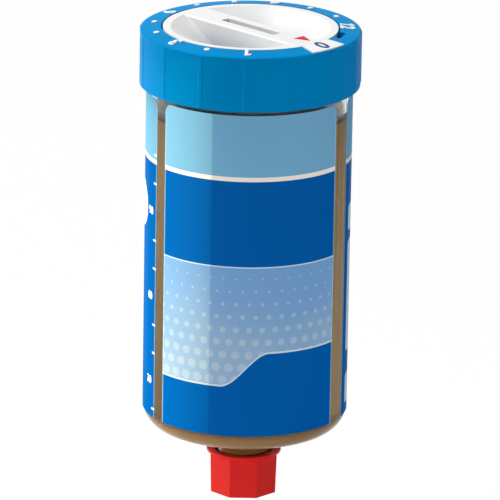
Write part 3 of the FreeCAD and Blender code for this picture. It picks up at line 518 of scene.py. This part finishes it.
def lubricant():
    """Thick brown oil with slow swirls, and a dark line and a grey band painted into its top
    under the piston.
    """
    finish = Finish("lubricant", Specular_IOR_Level=0.1)
    swirls = finish.noise(0.05, 3.0, stretch=(1, 1, 0.35))
    colour = finish.mix(finish.rise(swirls, 0.35, 0.65), paint(129, 105, 68), paint(137, 113, 76))
    height = finish.z - FILL_HEAD
    # Painted into the top of the filling under the piston: a dark line, then a grey band
    colour = finish.mix(finish.rise(height, *DARK_BAND_HEIGHTS), colour, paint(78, 76, 70))
    colour = finish.mix(finish.rise(height, *GREY_BAND_HEIGHTS), colour, paint(106, 106, 104))
    finish.set("Base Color", colour)
    finish.set("Roughness", finish.rise(swirls, 0.3, 0.7, 0.25, 0.35))
    finish.set("Normal", finish.bump(finish.noise(0.15, 2.0), 0.05))
    return finish


def board_laminate():
    """Green board with a woven glass grain."""
    finish = Finish("board_laminate")
    weave = abs((finish.x % 0.5) - 0.25) + abs((finish.y % 0.5) - 0.25)
    finish.set("Base Color", finish.mix(weave * 2.0, paint(28, 96, 58), paint(38, 116, 72)))
    finish.set("Roughness", finish.rise(finish.noise(0.8), 0.3, 0.7, 0.3, 0.42))
    finish.set("Normal", finish.bump(weave, 0.03))
    return finish


# Printed labels

def label_width(name):
    """A panel's width laid flat."""
    return math.radians(LABEL_SWEEPS[name]) * LABEL_RADIUS


def print_label(name):
    """Printed film round the container: a header, a blue field and what the panel shows."""
    finish = Finish(
        name, Metallic=LABEL_METAL[name], Specular_IOR_Level=0.0,
        Specular_Tint=(0.4, 0.6, 0.8, 1))
    across = finish.angle(LABEL_STARTS[name]) * LABEL_RADIUS
    up = finish.z
    header = finish.mix(
        finish.rise(up, HEADER_FOOT, LABEL_HEAD), paint(112, 167, 200), paint(110, 164, 197))
    blue = finish.mix(
        finish.rise(up, LABEL_FOOT, HEADER_FOOT), paint(3, 88, 163), paint(6, 87, 161))
    colour = finish.mix(up > HEADER_FOOT, blue, header)
    line = up.between(HEADER_FOOT - HEADER_LINE, HEADER_FOOT)
    colour = finish.mix(line, colour, paint(236, 228, 220))
    draw = {"label_front": draw_window, "label_left": draw_scale, "label_right": draw_fields}
    colour = draw[name](finish, colour, across, up)
    # Painted highlight along both edges of the film
    edge = (across < LABEL_EDGE) | (across > label_width(name) - LABEL_EDGE)
    colour = finish.mix(edge * EDGE_HIGHLIGHT_SHARE, colour, paint(190, 214, 228))
    finish.set("Base Color", colour)
    finish.set("Roughness", finish.rise(finish.noise(0.8, 2.0), 0.2, 0.8, 0.05, 0.09))
    finish.set("Normal", finish.bump(finish.noise(0.25, 1.0), 0.004))
    return finish


def draw_window(finish, colour, across, up):
    """A pale window whose foot steps up, with staggered dots that grow downwards."""
    foot = finish.rise(across, *WINDOW_STEP, *WINDOW_FOOT)
    fade = finish.rise(up + finish.noise(0.06, 1.0) * WINDOW_CLOUD, *WINDOW_FADE)
    pale = finish.mix(fade, paint(146, 174, 200), paint(112, 156, 204))
    row = (up - WINDOW_FOOT[0]) / DOT_PITCH
    column = across / DOT_PITCH + (row % 2.0 > 1.0) * 0.5
    from_centre = ((column % 1.0 - 0.5) ** 2.0 + (row % 1.0 - 0.5) ** 2.0) ** 0.5
    size = finish.rise(up, WINDOW_FOOT[0], WINDOW_HEAD, *DOT_SIZES)
    dots = finish.rise(from_centre - size, -DOT_BLUR, DOT_BLUR, 1.0, 0.0)
    pale = finish.mix(dots * DOT_SHARE, pale, paint(196, 206, 212))
    colour = finish.mix((up > foot) * (up < WINDOW_HEAD), colour, pale)
    rim = (abs(up - foot) < WINDOW_RIM[0]) | (abs(up - WINDOW_HEAD) < WINDOW_RIM[1])
    return finish.mix(rim, colour, paint(196, 210, 220))


def draw_scale(finish, colour, across, up):
    """Level ticks along the panel's edge, and a white disc."""
    step = (up - SCALE_FOOT) / SCALE_PITCH + 0.5
    tick = abs(step % 1.0 - 0.5) < TICK_SHARE
    number = abs(step % 3.0 - 1.5) < 0.5
    at_edge = across > label_width("label_left") - TICK_LENGTH
    ticks = tick * (1.0 - number) * at_edge * (up < SCALE_HEAD)
    middle, height, radius = DISC
    disc = ((across - middle) ** 2.0 + (up - height) ** 2.0) ** 0.5 < radius
    return finish.mix(ticks | disc, colour, paint(226, 230, 234))


def draw_fields(finish, colour, across, up):
    """White fields with round corners, for the fitter's notes."""
    side = past_corner(across, *FIELD_SPAN)
    for foot, head in FIELDS:
        rise = past_corner(up, foot, head)
        field = (side ** 2.0 + rise ** 2.0) ** 0.5 < FIELD_CORNER
        colour = finish.mix(field, colour, paint(206, 216, 226))
    return colour


def past_corner(value, low, high):
    """How far a place lies past the straight part of a field's side, 0 along it."""
    return (abs(value - (low + high) / 2) - (high - low) / 2 + FIELD_CORNER) | 0.0


def make_finishes():
    """The materials of the pieces, by name."""
    finishes = {
        "dial_white": dial_white(), "ring_blue": ring_blue(), "clear_shell": clear_shell(),
        "lubricant": lubricant(), "board_laminate": board_laminate()}
    finishes.update({name: print_label(name) for name in LABEL_STARTS})
    finishes.update({name: sheet_metal(name) for name in SHEET_METAL})
    finishes.update({name: moulded(name) for name in MOULDED if name not in finishes})
    return finishes


def dress_nodes(finishes):
    """Gives each CAD node the material of its own name or else of its slot's name."""
    for name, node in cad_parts.items():
        for slot in node.material_slots:
            key = name if name in finishes else slot.material.name.split(".")[0]
            slot.material = finishes[key].material
    # Rays that have passed the clear wall don't meet the side labels, so that the
    # filling behind the gaps is lit.
    for name in ("label_left", "label_right"):
        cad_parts[name].visible_transmission = False


# Filling

def cut_fill(finish):
    """The lubricant as a column under the piston and a rest that stays below it."""
    column = copy_of(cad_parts["lubricant_fill"], "lubricant_column")
    rest = copy_of(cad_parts["lubricant_fill"], "lubricant_rest")
    cut_level(column, keep_top=True)
    wide = (BORE + FILL_REACH) / BORE
    bpy.ops.transform.resize(value=(wide, wide, 1), center_override=(0, 0, FILL_FOOT * MM))
    cut_level(rest, keep_top=False)
    bpy.ops.transform.shrink_fatten(value=FILL_REACH * MM, use_even_offset=True)
    for piece in (column, rest):
        smooth(piece)
        finish_with(piece, finish)
        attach(piece, "body")
        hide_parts("lubricant_fill")
    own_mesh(column)


def cut_level(piece, keep_top):
    """Cuts a copy of the filling at its foot and leaves it selected for editing."""
    take(piece)
    start_editing()
    bpy.ops.mesh.remove_doubles(threshold=1e-6)
    bpy.ops.mesh.bisect(
        plane_co=(0, 0, FILL_FOOT * MM), plane_no=(0, 0, 1), use_fill=True,
        clear_inner=keep_top, clear_outer=not keep_top)
    bpy.ops.mesh.select_all(action="SELECT")


# Numerals and marks

def shape_number(name, digits, height, depth):
    """A number as a solid, centred on the origin and set to a height and a depth."""
    clear_selection()
    bpy.ops.object.text_add()
    text = bpy.context.object
    text.data.body = digits
    text.data.extrude = 1.0
    text.data.offset = TEXT_WEIGHT
    text.data.resolution_u = TEXT_STEPS
    bpy.ops.object.convert(target="MESH")
    piece = named(name)
    low = Vector(map(min, zip(*(v.co for v in piece.data.vertices))))
    high = Vector(map(max, zip(*(v.co for v in piece.data.vertices))))
    centre = (low + high) / 2
    scale = height * MM / (high.y - low.y)
    piece.data.transform(Matrix.Translation(-centre))
    piece.data.transform(Matrix.Diagonal((scale, scale, depth * MM / 2, 1)))
    take(piece)
    start_editing()
    bpy.ops.mesh.remove_doubles(threshold=1e-7)
    bpy.ops.mesh.dissolve_limited(angle_limit=math.radians(1))
    bpy.ops.object.mode_set(mode="OBJECT")
    if digits[0] == "1":
        add_stroke_of_one(piece, (low.x - centre.x) * scale, height * MM / 2, depth)
    return piece


def add_stroke_of_one(piece, left, top, depth):
    """The slanting stroke that starts a one, at the head of its stem."""
    clear_selection()
    bpy.ops.mesh.primitive_cube_add(size=MM)
    stroke = named("slant")
    start_editing()
    bpy.ops.transform.resize(value=(*SLANT_SIZE, depth * SLANT_DEPTH))
    bpy.ops.object.mode_set(mode="OBJECT")
    aside, down = SLANT_PLACE
    stroke.data.transform(Matrix.Rotation(math.radians(SLANT_ANGLE), 4, "Z"))
    stroke.data.transform(Matrix.Translation((left + aside * MM, top + down * MM, 0)))
    take(piece)
    stroke.select_set(True)
    bpy.ops.object.join()


def round_edges(piece, width):
    """Rounds a mark's sharp edges."""
    take(piece)
    edge = piece.modifiers.new("edge", "BEVEL")
    edge.width = width * MM
    edge.segments = 2
    edge.limit_method = "ANGLE"
    bpy.ops.object.modifier_apply(modifier="edge")


def stand_mark(piece, radius, angle, rise, finish):
    """Sets a mark on the ring's sloping top, its head outwards, with its finish."""
    height = RING_TOP - (radius - RING_MOUTH) * RING_SLOPE + rise
    piece.data.transform(Matrix.Rotation(-math.atan(RING_SLOPE), 4, "X"))
    piece.data.transform(Matrix.Rotation(math.radians(angle - 90), 4, "Z"))
    piece.data.transform(Matrix.Translation(polar(radius, angle, height)))
    finish_with(piece, finish)
    smooth(piece)
    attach(piece, "body")


def build_dot():
    """A low round dot with a rolled edge, on the origin."""
    clear_selection()
    bpy.ops.mesh.primitive_circle_add(
        vertices=DOT_SIDES, radius=DOT_RADIUS * MM, fill_type="NGON")
    dot = named("mark_dot")
    start_editing()
    bpy.ops.mesh.extrude_region_move(
        TRANSFORM_OT_translate={"value": (0, 0, MARK_RAISE * MM)})
    bpy.ops.mesh.inset(thickness=DOT_ROLL * MM)
    bpy.ops.transform.translate(value=(0, 0, DOT_CROWN * MM))
    bpy.ops.object.mode_set(mode="OBJECT")
    return dot


def build_marks(finish, print_finish):
    """Raised numerals and dots round the ring, and the printed nought on the pad."""
    dot = build_dot()
    for place in range(MARK_COUNT):
        angle = MARK_FIRST_ANGLE - place * MARK_PITCH
        digits = NUMERALS.get(place)
        if digits:
            piece = shape_number(f"mark_{digits}", digits, NUMERAL_HEIGHT, MARK_RAISE)
            round_edges(piece, NUMERAL_BEVEL)
            rise = MARK_RAISE / 2
        else:
            piece = copy_of(dot, f"mark_dot_{place}")
            rise = 0
        stand_mark(piece, MARK_RADIUS, angle, rise, finish)
    bpy.data.objects.remove(dot)
    nought = shape_number("mark_0", "0", FLAG_MARK_HEIGHT, PRINT_RAISE)
    stand_mark(nought, MARK_RADIUS, FLAG_ANGLE, FLAG_RISE, print_finish)


def build_scale_numbers(finish):
    """The printed numbers of the level scale, wrapped round the left panel."""
    for step, digits in SCALE_NUMBERS.items():
        piece = shape_number(f"scale_{digits}", digits, SCALE_NUMBER_HEIGHT, PRINT_RAISE)
        height = SCALE_FOOT + step * SCALE_PITCH
        for vertex in piece.data.vertices:
            along, up, out = vertex.co / MM
            turn = SCALE_NUMBER_ANGLE + math.degrees(along / LABEL_RADIUS)
            vertex.co = polar(LABEL_RADIUS + out + PRINT_RAISE / 2, turn, height + up)
        finish_with(piece, finish)
        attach(piece, "body")


# Outlet

def build_thread(finish):
    """The outlet's thread: one ridge wound up the tapered nozzle, closed at its ends."""
    turns = (THREAD_HEAD - THREAD_FOOT) / THREAD_PITCH - 1
    ridge = build_ridge()
    winding = ridge.modifiers.new("winding", "SCREW")
    winding.angle = math.tau * turns
    winding.screw_offset = THREAD_PITCH * turns * MM
    winding.steps = winding.render_steps = round(THREAD_STEPS * turns)
    winding.use_merge_vertices = False
    take(ridge)
    bpy.ops.object.modifier_apply(modifier="winding")
    for vertex in ridge.data.vertices:
        drop = THREAD_HEAD - vertex.co.z / MM
        out = math.hypot(vertex.co.x, vertex.co.y)
        vertex.co.xy *= 1 - drop * THREAD_TAPER * MM / out
    start_editing()
    bpy.ops.mesh.select_all(action="DESELECT")
    bpy.ops.mesh.select_non_manifold()
    bpy.ops.mesh.edge_face_add()
    bpy.ops.mesh.select_all(action="SELECT")
    bpy.ops.mesh.normals_make_consistent(inside=False)
    bpy.ops.object.mode_set(mode="OBJECT")
    finish_with(ridge, finish)
    smooth(ridge, THREAD_SMOOTH)
    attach(ridge, "body")


def build_ridge():
    """The thread's section: a triangle that stands out of the nozzle."""
    clear_selection()
    half = THREAD_PITCH / 2
    bpy.ops.mesh.primitive_circle_add(vertices=3, radius=half * MM)
    ridge = named("outlet_thread")
    inner = THREAD_ROOT - THREAD_SINK
    corners = [
        (inner, -half * THREAD_FLANK), (THREAD_CREST, 0.0), (inner, half * THREAD_FLANK)]
    for vertex, (out, up) in zip(ridge.data.vertices, corners):
        vertex.co = Vector((out, 0.0, THREAD_FOOT + half + up)) * MM
    return ridge


# Studio

def grey(level):
    """A grey from 0 to 1."""
    return (level, level, level, 1)


def build_world():
    """Dim even air, white where the camera sees it."""
    world = bpy.data.worlds.new("studio")
    bpy.context.scene.world = world
    world.use_nodes = True
    air = Nodes(world.node_tree)
    colour = air.mix(air.seen_white(), grey(AIR_GREY), grey(1))
    air.feed(air.tree.nodes["Background"].inputs["Color"], colour)


def build_floor():
    """The pale paper floor, low enough for the cap to come off downwards."""
    clear_selection()
    bpy.ops.mesh.primitive_plane_add(size=FLOOR_SIZE)
    floor = named("studio_floor")
    start_editing()
    bpy.ops.mesh.subdivide(number_cuts=3)
    bpy.ops.transform.translate(value=(0, 0, -FLOOR_DROP * MM))
    bpy.ops.object.mode_set(mode="OBJECT")
    paper = Finish(
        "studio_paper", Base_Color=grey(PAPER_GREY), Roughness=0.9, Specular_IOR_Level=0.0)
    paper.cover(paper.seen_white() * PAPER_WHITE, paper.node("Emission"))
    finish_with(floor, paper)


def build_panel():
    """A tall glowing panel close at the left, dimmer to the front; the labels mirror it."""
    clear_selection()
    bpy.ops.mesh.primitive_plane_add(size=1)
    panel = named("studio_panel")
    corners = [(end, up) for up in PANEL_HEIGHTS for end in (PANEL_FRONT, PANEL_BACK)]
    for vertex, (end, up) in zip(panel.data.vertices, corners):
        vertex.co = Vector((*end, up)) * MM
    glow = Finish("studio_glow")
    front, back = [[level * part for level in PANEL_TINT] + [1] for part in PANEL_GLOW]
    climb = (glow.y - PANEL_FRONT.y) / (PANEL_BRIGHT - PANEL_FRONT.y)
    glow.show(glow.node("Emission", inputs={"Color": glow.mix(climb, front, back)}))
    finish_with(panel, glow)
    panel.visible_camera = panel.visible_transmission = panel.visible_shadow = False


def build_light(name, place, aim, width, height, watts):
    """A flat soft light that the camera doesn't see."""
    light = bpy.data.lights.new(name, "AREA")
    light.shape = "RECTANGLE"
    light.size, light.size_y = width, height
    light.energy = watts
    lamp = bpy.data.objects.new(name, light)
    bpy.context.collection.objects.link(lamp)
    lamp.location = place
    lamp.rotation_euler = (Vector(aim) - Vector(place)).to_track_quat("-Z", "Y").to_euler()
    lamp.visible_camera = False
    return lamp


def build_lights():
    """A light above, a little to the left and behind, and a faint one at the right."""
    build_light("top_light", *TOP_LIGHT)
    fill = build_light("right_fill", *RIGHT_FILL)
    fill.visible_glossy = False


def build_camera():
    """A long lens far off, which looks down at the object as in the picture."""
    tilt = math.radians(CAMERA_TILT)
    level = Vector((0, math.cos(tilt), -math.sin(tilt)))
    place = MIDDLE - level * CAMERA_DISTANCE
    turn = level.to_track_quat("-Z", "Y").to_matrix()
    right, up = turn.col[0], turn.col[1]
    aim = MIDDLE + right * CAMERA_AIM.x + up * CAMERA_AIM.z
    turn = (aim - place).to_track_quat("-Z", "Y").to_matrix()
    turn = turn @ Matrix.Rotation(math.radians(CAMERA_ROLL), 3, "Z")
    camera = bpy.data.objects.new("camera", bpy.data.cameras.new("camera"))
    camera.data.lens = CAMERA_LENS
    camera.data.sensor_width = SENSOR_WIDTH
    camera.data.clip_start = 0.1
    camera.data.clip_end = 20.0
    camera.location = place
    camera.rotation_euler = turn.to_euler()
    bpy.context.collection.objects.link(camera)
    bpy.context.scene.camera = camera


finishes = make_finishes()
dress_nodes(finishes)
cut_fill(finishes["lubricant"])
build_marks(finishes["flag_white"], finishes["mark_print"])
build_scale_numbers(finishes["flag_white"])
build_thread(finishes["clear_shell"])
build_world()
build_floor()
build_panel()
build_lights()
build_camera()
bpy.context.scene.view_settings.view_transform = "Standard"
